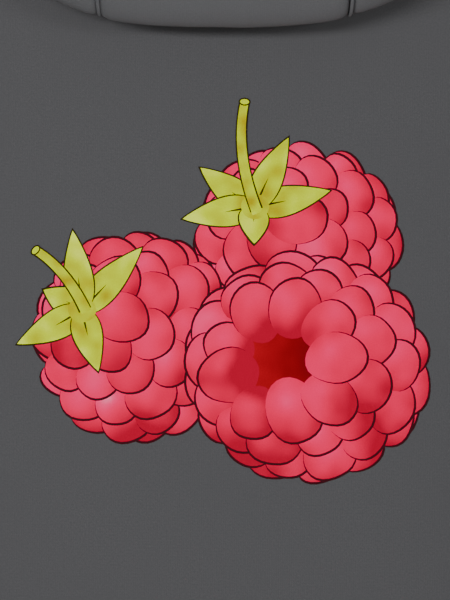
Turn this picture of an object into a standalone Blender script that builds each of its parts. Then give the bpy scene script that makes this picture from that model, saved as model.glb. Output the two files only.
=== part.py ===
"""A pullover hoodie in the shape it has when it is worn or put on a display form.

Metres, +Z up. The wearer faces +Y, so the printed back faces -Y and the wearer's left is at -X.
The origin is at the base of the neck, midway between the shoulders, which carry the garment.
Each panel of cloth is a sheet of its real thickness, and neighbours stop short of each other at
their seams, as pieces do before they are sewn.
"""

import math

import bmesh
import bpy
from mathutils import Vector
from mathutils.geometry import delaunay_2d_cdt

# Driving sizes of the garment.
HEM_Z = -0.600  # where the body panels meet the waistband
BAND_BOTTOM_Z = -0.665
ARMPIT_Z = -0.270
SHOULDER_X, SHOULDER_Z = 0.215, -0.050  # outer end of the shoulder seam
NECK_HALF_WIDTH = 0.095
BACK_NECK_Z, FRONT_NECK_Z = 0.012, -0.055
CUFF_LENGTH = 0.066
CUFF_TOP_RADIUS, CUFF_END_RADIUS = 0.0405, 0.0375

# Cloth and its seams.
FLEECE = 0.0018  # body fleece
HOOD_CLOTH = 0.0024  # the hood is doubled, fleece outside and jersey inside
RIB = 0.0034  # doubled rib knit of the cuffs and the waistband
SEAM_GAP = 0.0012
SIDE_GAP = 0.0006  # each body panel stops this far from the side seam's line

# Body: how far it reaches sideways and front to back at each height, and how square it is.
SQUARENESS = 2.4
BACK_SHARE = 0.92  # a back is flatter than a chest
HALF_WIDTH = [
    (BAND_BOTTOM_Z, 0.199), (-0.630, 0.202), (HEM_Z, 0.211), (-0.572, 0.231), (-0.500, 0.236),
    (-0.400, 0.233), (ARMPIT_Z, 0.228), (-0.200, 0.244), (-0.100, 0.252), (0.100, 0.252),
]
HALF_DEPTH = [
    (BAND_BOTTOM_Z, 0.110), (-0.630, 0.112), (HEM_Z, 0.117), (-0.572, 0.130), (-0.500, 0.132),
    (-0.400, 0.128), (ARMPIT_Z, 0.126), (-0.150, 0.128), (0.100, 0.128),
]
# The line along the top of the shoulders, carried on across the neck, as (x, z).
RIDGE = [
    (-0.050, 0.038), (0.000, 0.060), (0.050, 0.038), (NECK_HALF_WIDTH, 0.000), (0.150, -0.022),
    (SHOULDER_X, SHOULDER_Z), (0.260, -0.072),
]
SHOULDER_ROUNDING = 0.200  # height over which the body rounds from the ridge to full depth
ARMHOLE = [
    (0.228, ARMPIT_Z), (0.209, -0.215), (0.200, -0.150), (0.204, -0.095), (SHOULDER_X, SHOULDER_Z),
]
ARMPIT_V = 0.6  # the share of a body panel's edge that is side seam

# Sleeve: its outer line, its inner line and its half depth, from the armhole to the cuff.
SLEEVE_OUTER = [
    (SHOULDER_X, SHOULDER_Z), (0.262, -0.078), (0.300, -0.140), (0.328, -0.220), (0.352, -0.320),
    (0.374, -0.420), (0.396, -0.530), (0.396, -0.585),
]
SLEEVE_INNER = [
    (0.228, ARMPIT_Z), (0.238, -0.290), (0.244, -0.315), (0.252, -0.355), (0.266, -0.410),
    (0.281, -0.475), (0.298, -0.560), (0.3145, -0.606),
]
SLEEVE_DEPTH = [
    (0.0, 0.072), (0.2, 0.074), (0.4, 0.067), (0.6, 0.060), (0.8, 0.053), (0.92, 0.051),
    (1.0, 0.0425),
]
SLEEVE_FORWARD = 0.030  # how far forward of the shoulder the wrist hangs
ARMHOLE_BLEND = 0.30  # share of the sleeve over which the armhole's outline fades out

# Hood, thrown back. Each section starts on the neck seam, goes over the top roll, down the nape,
# round the bottom fold and up to the face edge. These are the wearer's right half.
SEAM_RISE = 0.0026  # how far above a body panel's edge the hood starts
HOOD_SEAM_X = [0.000, 0.040, 0.074, 0.0945, 0.0810, 0.064, 0.038, 0.000]
HOOD_FRONT = [
    (0.000, 0.1185, -0.049), (0.000, 0.119, -0.046), (0.000, 0.119, -0.043),
    (0.000, 0.119, -0.040), (0.000, 0.119, -0.037), (0.000, 0.119, -0.034),
    (0.000, 0.1185, -0.031), (0.000, 0.118, -0.028),
]
HOOD_THROAT = [
    (0.045, 0.109, -0.036), (0.049, 0.106, -0.026), (0.052, 0.103, -0.017),
    (0.055, 0.100, -0.009), (0.057, 0.097, -0.002), (0.058, 0.094, 0.004),
    (0.059, 0.091, 0.010), (0.059, 0.088, 0.015),
]
HOOD_FRONT_SIDE = [
    (0.083, 0.074, -0.010), (0.091, 0.068, 0.008), (0.098, 0.062, 0.022),
    (0.103, 0.055, 0.032), (0.106, 0.049, 0.039), (0.107, 0.044, 0.045),
    (0.106, 0.039, 0.051), (0.102, 0.035, 0.056),
]
HOOD_SIDE = [
    (0.103, -0.002, 0.026), (0.113, -0.008, 0.043), (0.123, -0.017, 0.055),
    (0.131, -0.027, 0.062), (0.136, -0.036, 0.067), (0.138, -0.042, 0.073),
    (0.136, -0.045, 0.079), (0.131, -0.045, 0.084),
]
HOOD_SHOULDER = [
    (0.096, -0.036, 0.034), (0.111, -0.051, 0.044), (0.125, -0.070, 0.016),
    (0.133, -0.090, -0.043), (0.1385, -0.111, -0.080), (0.146, -0.132, -0.052),
    (0.144, -0.129, 0.014), (0.117, -0.096, 0.070),
]
HOOD_CORNER = [
    (0.077, -0.063, 0.037), (0.092, -0.082, 0.042), (0.109, -0.105, -0.025),
    (0.119, -0.122, -0.120), (0.124, -0.144, -0.166), (0.133, -0.167, -0.130),
    (0.131, -0.169, -0.036), (0.096, -0.129, 0.062),
]
HOOD_SEAM = [
    (0.044, -0.083, 0.038), (0.054, -0.102, 0.037), (0.064, -0.119, -0.052),
    (0.071, -0.129, -0.152), (0.0745, -0.154, -0.1985), (0.077, -0.181, -0.160),
    (0.078, -0.189, -0.056), (0.062, -0.153, 0.053),
]
HOOD_BACK = [
    (0.000, -0.090, 0.038), (0.000, -0.110, 0.034), (0.000, -0.122, -0.060),
    (0.000, -0.131, -0.160), (0.000, -0.157, -0.205), (0.000, -0.184, -0.166),
    (0.000, -0.193, -0.060), (0.000, -0.159, 0.049),
]
HOOD_SECTIONS = [
    HOOD_FRONT, HOOD_THROAT, HOOD_FRONT_SIDE, HOOD_SIDE, HOOD_SHOULDER, HOOD_CORNER,
    HOOD_SEAM, HOOD_BACK,
]
CENTRE_PANEL_FROM = 6 / 7  # where round the neck the centre panel starts, 0 front to 1 back

# Eyelets for a drawcord, in the face edge near the throat.
EYELET_AT = (0.22, 0.84)  # round the neck, and from the neck seam to the face edge
EYELET_FLANGE_RADIUS, EYELET_BORE_RADIUS, EYELET_BARREL_RADIUS = 0.0055, 0.0028, 0.0034
EYELET_HOLE_RADIUS = 0.0040
EYELET_FLANGE = 0.0007
EYELET_STANDOFF = 0.0008

# Kangaroo pocket, on the front above the waistband.
POCKET_BOTTOM_Z, POCKET_TOP_Z = -0.594, -0.394
POCKET_HALF_BOTTOM, POCKET_HALF_TOP = 0.165, 0.105
POCKET_STRAIGHT = 0.25  # share of the pocket's height whose sides are sewn down
POCKET_SEWN, POCKET_BULGE = 0.0034, 0.014
POCKET_FLATNESS = 0.9  # a full pocket is flatter than the belly under it

NECK_TAPE_WIDTH = 0.013
NECK_TAPE = 0.0010

# Print on the back: three raspberries, placed from a point at the foot of the hood.
PRINT_ORIGIN_X, PRINT_ORIGIN_Z = 0.000, -0.205
PRINT_FILM = 0.0004
PRINT_STANDOFF = 0.0011
PRINT_GRID = 0.017
BERRIES = [  # centre across and down, half width, half height, number of bumps round it
    (0.050, 0.118, 0.060, 0.053, 15),
    (-0.049, 0.184, 0.058, 0.062, 14),
    (0.052, 0.204, 0.073, 0.067, 17),
]
BUMP_DEPTH = 0.055
CALYXES = [  # centre across and down, and each sepal's direction in degrees and length
    (0.018, 0.106, ((10, 0.047), (62, 0.047), (158, 0.046), (187, 0.052), (255, 0.024))),
    (-0.086, 0.168, ((52, 0.061), (88, 0.058), (160, 0.036), (205, 0.045), (282, 0.038))),
]
STEMS = [((0.018, 0.106), (0.0135, 0.041)), ((-0.086, 0.168), (-0.114, 0.132))]
SEPAL_HALF_WIDTH = 0.0085
STEM_HALF_WIDTH = 0.0030

CHARCOAL = (0.091, 0.092, 0.096, 1.0)
CHARCOAL_RIB = (0.080, 0.081, 0.085, 1.0)
RASPBERRY = (0.78, 0.055, 0.105, 1.0)
STEEL = (0.32, 0.32, 0.33, 1.0)


def clear_scene():
    for obj in list(bpy.data.objects):
        bpy.data.objects.remove(obj)


def material(name, colour, roughness, metallic=0.0):
    made = bpy.data.materials.new(name)
    made.use_nodes = True
    shader = made.node_tree.nodes["Principled BSDF"]
    shader.inputs["Base Color"].default_value = colour
    shader.inputs["Roughness"].default_value = roughness
    shader.inputs["Metallic"].default_value = metallic
    return made


def cubic(before, start, end, after, f):
    """Between start and end, f from 0 to 1, on a smooth curve that also heeds its neighbours."""
    return 0.5 * (
        2 * start
        + (end - before) * f
        + (2 * before - 5 * start + 4 * end - after) * f * f
        + (3 * start - before - 3 * end + after) * f**3
    )


def through(points, t):
    """A point on a smooth curve through evenly numbered points, t from 0 to 1."""
    last = len(points) - 1
    at = min(max(t, 0.0), 1.0) * last
    i = min(int(at), last - 1)
    start, end = Vector(points[i]), Vector(points[i + 1])
    before = Vector(points[i - 1]) if i > 0 else 2 * start - end
    after = Vector(points[i + 2]) if i + 2 <= last else 2 * end - start
    return cubic(before, start, end, after, at - i)


def profile(stations, at):
    """Reads a smooth curve through (place, value) pairs that are listed in rising order."""
    i = 0
    while i < len(stations) - 2 and at > stations[i + 1][0]:
        i += 1
    (x0, y0), (x1, y1) = stations[i], stations[i + 1]
    xb, yb = stations[max(i - 1, 0)]
    xa, ya = stations[min(i + 2, len(stations) - 1)]
    f = min(max((at - x0) / (x1 - x0), 0.0), 1.0)
    rise0 = (y1 - yb) / (x1 - xb) * (x1 - x0)
    rise1 = (ya - y0) / (xa - x0) * (x1 - x0)
    return (
        (1 + 2 * f) * (1 - f) ** 2 * y0 + f * (1 - f) ** 2 * rise0
        + f * f * (3 - 2 * f) * y1 - f * f * (1 - f) * rise1
    )


def smooth(t):
    t = min(max(t, 0.0), 1.0)
    return t * t * (3 - 2 * t)


def body_depth(x, z, facing):
    """How far the body's outside stands from the plane of the side seams. facing is -1 for the back."""
    across = min(abs(x) / profile(HALF_WIDTH, z), 1.0)
    below = min(max((profile(RIDGE, abs(x)) - z) / SHOULDER_ROUNDING, 0.0), 1.0)
    share = BACK_SHARE if facing < 0 else 1.0
    side = (1 - across**SQUARENESS) ** (1 / SQUARENESS)
    return share * profile(HALF_DEPTH, z) * side * math.sqrt(1 - (1 - below) ** 2)


def side_edge(v):
    """(x, z) up the side seam and round the armhole, v from 0 at the hem to 1 at the shoulder."""
    if v > ARMPIT_V:
        return through(ARMHOLE, (v - ARMPIT_V) / (1 - ARMPIT_V))
    z = HEM_Z + (ARMPIT_Z - HEM_Z) * v / ARMPIT_V
    return Vector((profile(HALF_WIDTH, z), z))


def top_edge(x, neck_z):
    """Height of a body panel's top edge: the neckline, then the shoulder seam."""
    if x >= NECK_HALF_WIDTH:
        return profile(RIDGE, x)
    return neck_z * math.sqrt(1 - (x / NECK_HALF_WIDTH) ** 2)


def body_point(u, v, facing):
    """Outside of a body panel. u is -1 to 1 across, v is 0 to 1 from hem to shoulder."""
    neck_z = BACK_NECK_Z if facing < 0 else FRONT_NECK_Z
    side_x, side_z = side_edge(v)
    up = (side_z - HEM_Z) / (SHOULDER_Z - HEM_Z)
    rise = top_edge(abs(u) * SHOULDER_X, neck_z) - SHOULDER_Z
    x, z = u * side_x, side_z + rise * up**3
    return Vector((x, facing * (body_depth(x, z, facing) + SIDE_GAP), z))


def eased_columns(p):
    """Spreads columns so that one falls on the neck point and they crowd towards the sides."""
    neck = NECK_HALF_WIDTH / SHOULDER_X
    inner = 4 / 11  # four of eleven columns each side lie inside the neck point
    t = abs(p)
    if t <= inner:
        return math.copysign(neck * t / inner, p)
    outer = (t - inner) / (1 - inner)
    return math.copysign(neck + (1 - neck) * math.sin(math.pi / 2 * outer), p)


def eased_rows(q):
    """Half of the rows climb the side seam, and the others crowd towards both armhole ends."""
    if q <= 0.5:
        return ARMPIT_V * q / 0.5
    return ARMPIT_V + (1 - ARMPIT_V) * (1 - math.cos(math.pi * (q - 0.5) / 0.5)) / 2


def sheet(name, columns, rows, place, thickness, cloth, closed=False, flip=False, side=0):
    """A sheet of cloth. place(p, q) gives its outside, with p and q from 0 to 1, and the cloth's
    thickness goes inwards. A closed sheet joins its first column to its last, as a tube does."""
    mesh = bmesh.new()
    bmesh.ops.create_grid(mesh, x_segments=columns, y_segments=rows, size=1)
    for vertex in mesh.verts:
        vertex.co = place((vertex.co.x + 1) / 2, (vertex.co.y + 1) / 2)
    if closed:
        bmesh.ops.remove_doubles(mesh, verts=mesh.verts, dist=1e-5)
    if flip:
        bmesh.ops.reverse_faces(mesh, faces=mesh.faces)
    return solid_sheet(name, mesh, thickness, cloth, side)


def solid_sheet(name, mesh, thickness, cloth, side=0):
    """Gives an open mesh that faces outwards its thickness, and makes it a named object. With a
    side, all of it stays on that side of the plane of the side seams."""
    mesh.normal_update()
    bmesh.ops.solidify(mesh, geom=mesh.faces[:], thickness=thickness)
    for vertex in mesh.verts:
        if vertex.co.y * side < SIDE_GAP * abs(side):
            vertex.co.y = SIDE_GAP * side
    data = bpy.data.meshes.new(name)
    mesh.to_mesh(data)
    mesh.free()
    data.shade_smooth()
    data.materials.append(cloth)
    obj = bpy.data.objects.new(name, data)
    bpy.context.collection.objects.link(obj)
    return obj


def make_body(cloth):
    for name, facing in (("back_panel", -1), ("front_panel", 1)):
        sheet(
            name, 22, 16,
            lambda p, q, f=facing: body_point(eased_columns(2 * p - 1), eased_rows(q), f),
            FLEECE, cloth, flip=facing > 0, side=facing,
        )


def make_waistband(rib):
    def place(p, q):
        turn = 2 * math.pi * p
        z = HEM_Z - SEAM_GAP + (BAND_BOTTOM_Z - HEM_Z + SEAM_GAP) * q
        power = 2 / SQUARENESS
        c, s = math.cos(turn), math.sin(turn)
        x = math.copysign(abs(c) ** power, c) * profile(HALF_WIDTH, z)
        share = BACK_SHARE if s < 0 else 1.0
        y = math.copysign(abs(s) ** power, s) * profile(HALF_DEPTH, z) * share
        return Vector((x, y, z))

    sheet("waistband", 44, 3, place, RIB, rib, closed=True, flip=True)


def armhole_point(turn):
    """The armhole's outline, turn 0 at the shoulder, 90 degrees at the back, 180 at the armpit."""
    v = ARMPIT_V + (1 - ARMPIT_V) * (1 + math.cos(turn)) / 2
    x, z = side_edge(v)
    facing = -1 if math.sin(turn) > 0 else 1
    return Vector((x, facing * body_depth(x, z, facing), z))


def sleeve_point(turn, t):
    """Outside of the right sleeve, t from 0 at the armhole to 1 at the cuff."""
    outer, inner = through(SLEEVE_OUTER, t), through(SLEEVE_INNER, t)
    upper = (1 + math.cos(turn)) / 2
    middle, half = (outer + inner) / 2, (outer - inner) / 2
    ring = Vector((
        middle.x + half.x * math.cos(turn),
        -profile(SLEEVE_DEPTH, t) * math.sin(turn),
        middle.y + half.y * math.cos(turn),
    ))
    outer_move, inner_move = outer - Vector(SLEEVE_OUTER[0]), inner - Vector(SLEEVE_INNER[0])
    move = outer_move * upper + inner_move * (1 - upper)
    carried = armhole_point(turn) + Vector((move.x, 0, move.y))
    point = carried.lerp(ring, smooth(t / ARMHOLE_BLEND))
    point.y += SLEEVE_FORWARD * t * t
    return point


def mirrored(point, hand):
    return Vector((hand * point.x, point.y, point.z))


def make_sleeve(name, hand, cloth):
    def place(p, q):
        along = SEAM_GAP / 0.3 + (1 - SEAM_GAP / 0.3) * q**1.15
        return mirrored(sleeve_point(math.pi * (2 * p - 1), along), hand)

    sheet(name, 20, 14, place, FLEECE, cloth, closed=True, flip=hand < 0)


def make_cuff(name, hand, rib):
    outer, inner = Vector(SLEEVE_OUTER[-1]), Vector(SLEEVE_INNER[-1])
    middle, across = (outer + inner) / 2, (outer - inner).normalized()
    along = Vector((across.y, -across.x))  # down the arm, in the plane of x and z

    def place(p, q):
        turn = math.pi * (2 * p - 1)
        radius = CUFF_TOP_RADIUS + (CUFF_END_RADIUS - CUFF_TOP_RADIUS) * q
        centre = middle + along * (SEAM_GAP + 0.0008 + CUFF_LENGTH * q)
        point = centre + across * radius * math.cos(turn)
        y = SLEEVE_FORWARD - radius * math.sin(turn)
        return mirrored(Vector((point.x, y, point.y)), hand)

    sheet(name, 20, 2, place, RIB, rib, closed=True, flip=hand < 0)


def neck_seam(section):
    """Where a hood section starts, just above the edge of the body panel under it."""
    x = HOOD_SEAM_X[section]
    facing = 1 if section < HOOD_SECTIONS.index(HOOD_SIDE) else -1
    z = top_edge(x, BACK_NECK_Z if facing < 0 else FRONT_NECK_Z)
    return Vector((x, facing * body_depth(x, z, facing), z + SEAM_RISE))


def hood_point(round_neck, t):
    """Outside of the hood. round_neck is 0 at the front, 1 at the back and negative on the left."""
    ring = [through([neck_seam(i), *rest], t) for i, rest in enumerate(HOOD_SECTIONS)]
    last = len(ring) - 1
    at = min(abs(round_neck), 1.0) * last
    i = min(int(at), last - 1)
    before = ring[i - 1] if i > 0 else mirrored(ring[1], -1)
    after = ring[i + 2] if i + 2 <= last else mirrored(ring[last - 1], -1)
    point = cubic(before, ring[i], ring[i + 1], after, at - i)
    return mirrored(point, -1 if round_neck < 0 else 1)


def hood_normal(round_neck, t):
    """Which way the hood's outside faces there."""
    step = 0.004
    low, high = max(t - step, 0.0), min(t + step, 1.0)
    up = hood_point(round_neck, high) - hood_point(round_neck, low)
    if abs(round_neck) > 1 - step:
        left, right = hood_point(-1 + step, t), hood_point(1 - step, t)
        across = (left - right) * math.copysign(1, round_neck)
    else:
        across = hood_point(round_neck + step, t) - hood_point(round_neck - step, t)
    return up.cross(across).normalized()


def make_hood_panel(name, start, end, columns, cloth):
    """A hood panel between two places round the neck, both of its layers in one."""
    edge = SIDE_GAP / 0.13  # the gap at its edges, as a share of the way round

    def place(p, q):
        round_neck = start + edge + (end - start - 2 * edge) * p
        if round_neck > 1:
            round_neck -= 2
        return hood_point(round_neck, q)

    return sheet(name, columns, 16, place, HOOD_CLOTH, cloth, flip=True)


def make_hood(cloth):
    seam = CENTRE_PANEL_FROM
    return {
        "hood_right_panel": make_hood_panel("hood_right_panel", 0.0, seam, 13, cloth),
        "hood_centre_panel": make_hood_panel("hood_centre_panel", seam, 2 - seam, 6, cloth),
        "hood_left_panel": make_hood_panel("hood_left_panel", -seam, 0.0, 13, cloth),
    }


def eyelet_mesh():
    """A flanged ring turned about +Z, with its flange on top and its barrel going down."""
    mesh = bmesh.new()
    barrel = HOOD_CLOTH + 0.0008
    outline = [
        (EYELET_BORE_RADIUS, -barrel), (EYELET_BORE_RADIUS, EYELET_FLANGE * 0.6),
        (EYELET_BORE_RADIUS + 0.0006, EYELET_FLANGE), (EYELET_FLANGE_RADIUS - 0.0008, EYELET_FLANGE),
        (EYELET_FLANGE_RADIUS, 0.0002), (EYELET_FLANGE_RADIUS, 0.0),
        (EYELET_BARREL_RADIUS, 0.0), (EYELET_BARREL_RADIUS, -barrel),
    ]
    corners = [mesh.verts.new((r, 0, z)) for r, z in outline]
    edges = [mesh.edges.new((a, b)) for a, b in zip(corners, corners[1:] + corners[:1])]
    bmesh.ops.spin(
        mesh, geom=corners + edges, axis=(0, 0, 1), cent=(0, 0, 0), angle=2 * math.pi,
        steps=20, use_merge=True,
    )
    bmesh.ops.recalc_face_normals(mesh, faces=mesh.faces)
    data = bpy.data.meshes.new("eyelet")
    mesh.to_mesh(data)
    mesh.free()
    data.set_sharp_from_angle(angle=math.radians(40))
    return data


def cut_hole(panel, name, place, turned):
    """Cuts the round hole that an eyelet's barrel passes through."""
    mesh = bmesh.new()
    bmesh.ops.create_cone(
        mesh, cap_ends=True, segments=20, radius1=EYELET_HOLE_RADIUS,
        radius2=EYELET_HOLE_RADIUS, depth=0.010,
    )
    data = bpy.data.meshes.new(name)
    mesh.to_mesh(data)
    mesh.free()
    cutter = bpy.data.objects.new(name, data)
    bpy.context.collection.objects.link(cutter)
    cutter.location, cutter.rotation_mode, cutter.rotation_quaternion = place, "QUATERNION", turned
    cutter.hide_render = True
    cutter.display_type = "WIRE"
    hole = panel.modifiers.new(name, "BOOLEAN")
    hole.object = cutter


def make_eyelets(panels, steel):
    data = eyelet_mesh()
    data.materials.append(steel)
    for side, hand in (("right", 1), ("left", -1)):
        round_neck, t = EYELET_AT[0] * hand, EYELET_AT[1]
        place, facing = hood_point(round_neck, t), hood_normal(round_neck, t)
        turned = facing.to_track_quat("Z", "Y")
        eyelet = bpy.data.objects.new(f"{side}_eyelet", data)
        bpy.context.collection.objects.link(eyelet)
        eyelet.location = place + facing * EYELET_STANDOFF
        eyelet.rotation_mode, eyelet.rotation_quaternion = "QUATERNION", turned
        cut_hole(panels[f"hood_{side}_panel"], f"{side}_eyelet_hole", place, turned)


def make_pocket(cloth):
    """One panel, sewn along its top, its foot and the lower part of its sides."""
    def place(p, q):
        z = POCKET_BOTTOM_Z + (POCKET_TOP_Z - POCKET_BOTTOM_Z) * q
        slant = max(q - POCKET_STRAIGHT, 0.0) / (1 - POCKET_STRAIGHT)
        half = POCKET_HALF_BOTTOM + (POCKET_HALF_TOP - POCKET_HALF_BOTTOM) * slant
        x = (2 * p - 1) * half
        depth = body_depth(x, z, 1)
        fullness = math.sin(math.pi * q) ** 0.8
        held = smooth(slant * 4) + (1 - smooth(slant * 4)) * (1 - abs(2 * p - 1) ** 3)
        flat = POCKET_FLATNESS * (body_depth(0, z, 1) - depth)
        return Vector((x, depth + POCKET_SEWN + fullness * held * (POCKET_BULGE + flat), z))

    sheet("kangaroo_pocket", 16, 10, place, FLEECE, cloth, flip=True)


def make_neck_tape(tape):
    """The twill tape that covers the seam inside the back of the neck."""
    def place(p, q):
        x = (2 * p - 1) * NECK_HALF_WIDTH * 0.80
        z = top_edge(abs(x), BACK_NECK_Z) + 0.001 - NECK_TAPE_WIDTH * q
        return Vector((x, -(body_depth(x, z, -1) + SIDE_GAP) + 0.0055 + 0.25 * abs(x) ** 2 / 0.1, z))

    sheet("neck_tape", 14, 2, place, NECK_TAPE, tape, flip=True)


def berry_outline(across, down, half_width, half_height, bumps):
    """A bumpy oval, three points to a bump."""
    points = []
    for i in range(bumps * 3):
        turn = 2 * math.pi * i / (bumps * 3)
        swell = 1 - BUMP_DEPTH * (1 - abs(math.sin(turn * bumps / 2)))
        points.append((across + half_width * swell * math.cos(turn),
                       -down + half_height * swell * math.sin(turn)))
    return points


def sepal_outline(across, down, degrees, length):
    """A pointed leaf that starts a little inside the calyx's centre."""
    along = Vector((math.cos(math.radians(degrees)), math.sin(math.radians(degrees))))
    aside = Vector((-along.y, along.x)) * SEPAL_HALF_WIDTH
    centre = Vector((across, -down))
    left = [centre + along * length * f + aside * math.sin(math.pi * min(f + 0.15, 1) ** 0.8)
            for f in (-0.1, 0.3, 0.65)]
    right = [2 * (centre + along * length * f) - p for f, p in zip((-0.1, 0.3, 0.65), left)]
    return [tuple(p) for p in right + [centre + along * length] + left[::-1]]


def stem_outline(start, end):
    start, end = Vector((start[0], -start[1])), Vector((end[0], -end[1]))
    aside = (end - start).normalized().orthogonal() * STEM_HALF_WIDTH
    return [tuple(p) for p in (start + aside, end + aside, end - aside, start - aside)]


def print_outlines():
    outlines = [berry_outline(*berry) for berry in BERRIES]
    for across, down, sepals in CALYXES:
        outlines += [sepal_outline(across, down, *sepal) for sepal in sepals]
    return outlines + [stem_outline(*stem) for stem in STEMS]


def make_print(ink):
    """One film that covers all of the outlines and follows the back's curve."""
    outlines = print_outlines()
    points = [Vector(p) for outline in outlines for p in outline]
    faces, first = [], 0
    for outline in outlines:
        ring = list(range(first, first + len(outline)))
        area = sum(points[a].cross(points[b]) for a, b in zip(ring, ring[1:] + ring[:1]))
        faces.append(ring if area > 0 else ring[::-1])
        first += len(outline)
    low = [min(p[i] for p in points) for i in (0, 1)]
    high = [max(p[i] for p in points) for i in (0, 1)]
    counts = [int((high[i] - low[i]) / PRINT_GRID) for i in (0, 1)]
    for i in range(counts[0]):
        for j in range(counts[1]):
            points.append(Vector((low[0] + (i + 0.5) * PRINT_GRID, low[1] + (j + 0.5) * PRINT_GRID)))
    found, _, triangles, _, _, sources = delaunay_2d_cdt(points, [], faces, 1, 1e-6, True)
    mesh = bmesh.new()
    corners = []
    for p in found:
        x, z = PRINT_ORIGIN_X + p.x, PRINT_ORIGIN_Z + p.y
        y = -(body_depth(x, z, -1) + SIDE_GAP + PRINT_STANDOFF + PRINT_FILM)
        corners.append(mesh.verts.new((x, y, z)))
    for triangle, inside in zip(triangles, sources):
        if inside:
            mesh.faces.new([corners[k] for k in triangle])
    loose = [v for v in mesh.verts if not v.link_faces]
    bmesh.ops.delete(mesh, geom=loose, context="VERTS")
    solid_sheet("raspberry_print", mesh, PRINT_FILM, ink)


def main():
    clear_scene()
    cloth = material("charcoal_fleece", CHARCOAL, 0.95)
    rib = material("charcoal_rib_knit", CHARCOAL_RIB, 0.95)
    make_body(cloth)
    make_waistband(rib)
    for side, hand in (("right", 1), ("left", -1)):
        make_sleeve(f"{side}_sleeve", hand, cloth)
        make_cuff(f"{side}_cuff", hand, rib)
    panels = make_hood(cloth)
    make_eyelets(panels, material("brushed_steel", STEEL, 0.35, 1.0))
    make_pocket(cloth)
    make_neck_tape(material("charcoal_twill", CHARCOAL_RIB, 0.9))
    make_print(material("printed_ink", RASPBERRY, 0.7))


main()
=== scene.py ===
# %% [markdown]
# # A pullover hoodie with raspberries printed on its back
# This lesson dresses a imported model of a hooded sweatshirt. The garment keeps the shape that a
# wearer gives it, hangs from its shoulders, and turns its printed back to -Y. Each step says what
# the piece is on the real garment and why it is made the way it is.

# %% The frame
import math
import random
from bisect import bisect_left
from functools import lru_cache

import bmesh
import bpy
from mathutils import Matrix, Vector, noise
from mathutils.geometry import delaunay_2d_cdt


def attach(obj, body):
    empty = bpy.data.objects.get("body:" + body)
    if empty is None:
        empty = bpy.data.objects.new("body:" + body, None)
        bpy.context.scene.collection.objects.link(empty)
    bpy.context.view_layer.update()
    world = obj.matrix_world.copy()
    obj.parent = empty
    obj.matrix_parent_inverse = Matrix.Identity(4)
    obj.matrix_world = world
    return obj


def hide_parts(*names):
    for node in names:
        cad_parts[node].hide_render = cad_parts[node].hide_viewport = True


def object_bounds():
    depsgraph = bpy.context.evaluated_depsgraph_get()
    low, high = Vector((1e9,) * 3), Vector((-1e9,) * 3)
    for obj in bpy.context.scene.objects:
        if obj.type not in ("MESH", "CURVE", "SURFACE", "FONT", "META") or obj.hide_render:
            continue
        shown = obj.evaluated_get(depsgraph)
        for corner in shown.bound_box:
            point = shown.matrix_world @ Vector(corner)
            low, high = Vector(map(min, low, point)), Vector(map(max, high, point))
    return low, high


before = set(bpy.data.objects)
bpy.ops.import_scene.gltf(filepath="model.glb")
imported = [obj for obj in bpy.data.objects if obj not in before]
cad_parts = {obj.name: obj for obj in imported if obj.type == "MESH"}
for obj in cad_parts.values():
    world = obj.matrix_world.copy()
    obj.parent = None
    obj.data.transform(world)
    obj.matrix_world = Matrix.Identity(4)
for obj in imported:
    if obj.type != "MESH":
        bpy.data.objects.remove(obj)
cad_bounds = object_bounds()
print("CAD box", cad_bounds)

# %% [markdown]
# ## Colours and nodes
# Dyers and printers match colours by eye, so every colour here is an sRGB hex value, as a screen
# shows it, and one function turns it into the linear light that Blender works in. One function
# adds a shader node together with its settings and links, and a few short ones name its uses.

# %% Helpers for materials


def linear(code):
    """An sRGB hex colour as linear red, green, blue and alpha."""
    parts = [int(code[i:i + 2], 16) / 255 for i in (1, 3, 5)]
    light = [c / 12.92 if c <= 0.04045 else ((c + 0.055) / 1.055) ** 2.4 for c in parts]
    return (*light, 1.0)


def feed(tree, node, values=(), links=()):
    """Fills a node's sockets: values are plain ones, links name the outputs that feed them."""
    for socket, value in values:
        node.inputs[socket].default_value = value
    for socket, source in links:
        tree.links.new(source, node.inputs[socket])


def add_node(tree, kind, settings=(), values=(), links=()):
    """Adds a node with its own settings, and fills its sockets."""
    made = tree.nodes.new(kind)
    for name, value in settings:
        setattr(made, name, value)
    feed(tree, made, values, links)
    return made


def speckle(tree, place, scale, detail=2.0):
    """Noise from 0 to 1 over a place."""
    return add_node(tree, "ShaderNodeTexNoise", values=[("Scale", scale), ("Detail", detail)],
                    links=[("Vector", place)]).outputs["Fac"]


def stripes(tree, place, direction, scale, distortion, detail=2.0):
    """Soft bands from 0 to 1 over a place."""
    return add_node(tree, "ShaderNodeTexWave",
                    settings=[("wave_type", "BANDS"), ("bands_direction", direction)],
                    values=[("Scale", scale), ("Distortion", distortion), ("Detail", detail)],
                    links=[("Vector", place)]).outputs["Fac"]


def between(tree, share, first, second):
    """A colour between two others."""
    return add_node(tree, "ShaderNodeMix", settings=[("data_type", "RGBA")],
                    values=[(6, linear(first)), (7, linear(second))],
                    links=[(0, share)]).outputs[2]


def relief(tree, height, strength, depth):
    """A normal that makes a height show as bumps."""
    return add_node(tree, "ShaderNodeBump", values=[("Strength", strength), ("Distance", depth)],
                    links=[("Height", height)]).outputs["Normal"]


def cut_map(tree):
    """The cloth's own UV map, in metres."""
    return add_node(tree, "ShaderNodeUVMap", settings=[("uv_map", "cut")]).outputs["UV"]


def in_object(tree):
    """A place in the object's own space."""
    return add_node(tree, "ShaderNodeTexCoord").outputs["Object"]


def new_material(name):
    """A material with its shader, ready for nodes."""
    made = bpy.data.materials.new(name)
    made.use_nodes = True
    return made, made.node_tree, made.node_tree.nodes["Principled BSDF"]


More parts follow.
